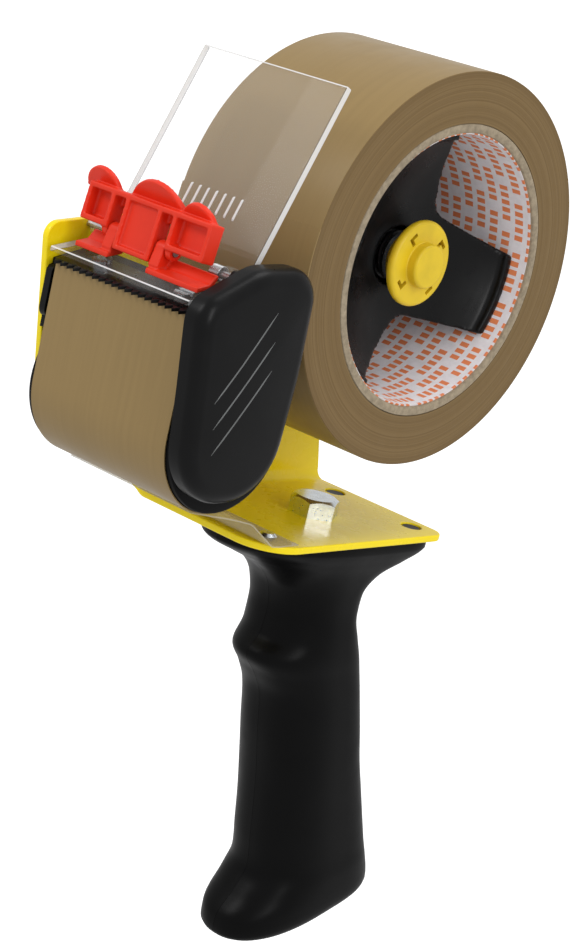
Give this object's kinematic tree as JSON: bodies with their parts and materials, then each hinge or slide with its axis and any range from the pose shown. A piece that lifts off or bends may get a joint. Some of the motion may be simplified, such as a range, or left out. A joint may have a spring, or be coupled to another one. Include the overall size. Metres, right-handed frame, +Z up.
{
  "type": "tape dispenser",
  "caption": "Hand-held packing tape dispenser: bent steel frame on a pistol handle, tape roll on a braked hub, rubber roller, toothed blade, clear guard and flip-down safety flap.",
  "frame": {"origin": "middle of the handle grip, on the parting plane of its two shells", "axes": "+X towards the open side with the brake knob, along the roll axis; -Y towards the blade; +Z up"},
  "size_m": [0.068, 0.1539, 0.2652],
  "materials": {
    "frame_paint": "gloss",
    "grip_plastic": "satin",
    "cover_plastic": "satin",
    "hub_plastic": "satin",
    "zinc_steel": "satin",
    "axle_steel": "satin",
    "blade_black": "satin",
    "spring_steel": "gloss",
    "tape_film": "gloss",
    "tape_edge": "satin",
    "core_board": "matte",
    "core_print": "satin",
    "roller_rubber": "matte",
    "roller_plastic": "satin",
    "knob_plastic": "satin",
    "clear_plastic": "gloss",
    "flap_plastic": "satin",
    "washer_fibre": "matte"
  },
  "bodies": {
    "root": {"frame_plate": "frame_paint", "handle_left_shell": "grip_plastic", "handle_right_shell": "grip_plastic", "handle_screws": "zinc_steel", "handle_bolt": "zinc_steel", "handle_nut": "zinc_steel", "hub_axle": "axle_steel", "friction_washer": "washer_fibre", "brake_spring": "spring_steel", "pressure_washer": "zinc_steel", "roller_axle": "axle_steel", "roller_retainer": "zinc_steel", "side_cover": "cover_plastic", "blade_holder": "cover_plastic", "holder_screws": "zinc_steel", "cutting_blade": "blade_black", "blade_screws": "zinc_steel", "guard_pivot_pins": "axle_steel", "tape_web": "tape_film", "spring_tongue": "clear_plastic", "tongue_rivets": "zinc_steel"},
    "roll": {"hub": "hub_plastic", "paper_core": "core_board", "core_liner": "core_print", "tape_winding": "tape_edge"},
    "roller": {"roller_sleeve": "roller_rubber", "roller_core": "roller_plastic"},
    "knob": {"brake_knob": "knob_plastic"},
    "guard": {"clear_guard": "clear_plastic", "guard_spring": "spring_steel", "flap_bracket": "flap_plastic", "flap_pin": "axle_steel"},
    "flap": {"safety_flap": "flap_plastic"}
  },
  "joints": [
    {"name": "roll_spin", "type": "hinge", "parent": "root", "child": "roll", "pos_m": [0, -0.018, 0.145], "axis": [1, 0, 0], "continuous": true},
    {"name": "roller_spin", "type": "hinge", "parent": "root", "child": "roller", "pos_m": [0, -0.0904, 0.1005], "axis": [1, 0, 0], "continuous": true},
    {"name": "knob_turn", "type": "hinge", "parent": "root", "child": "knob", "pos_m": [0, -0.018, 0.145], "axis": [1, 0, 0], "range_deg": [-180, 180]},
    {"name": "guard_tilt", "type": "hinge", "parent": "root", "child": "guard", "pos_m": [0, -0.0993, 0.141], "axis": [-1, 0, 0], "range_deg": [0, 15], "stiffness_Nm_per_rad": 0.05, "springref_deg": -11.46},
    {"name": "flap_hinge", "type": "hinge", "parent": "guard", "child": "flap", "pos_m": [0, -0.105, 0.143], "axis": [1, 0, 0], "range_deg": [0, 110]}
  ],
  "couplings": [
    {"joint": "roller_spin", "follows": "roll_spin", "ratio": -2.6781}
  ]
}
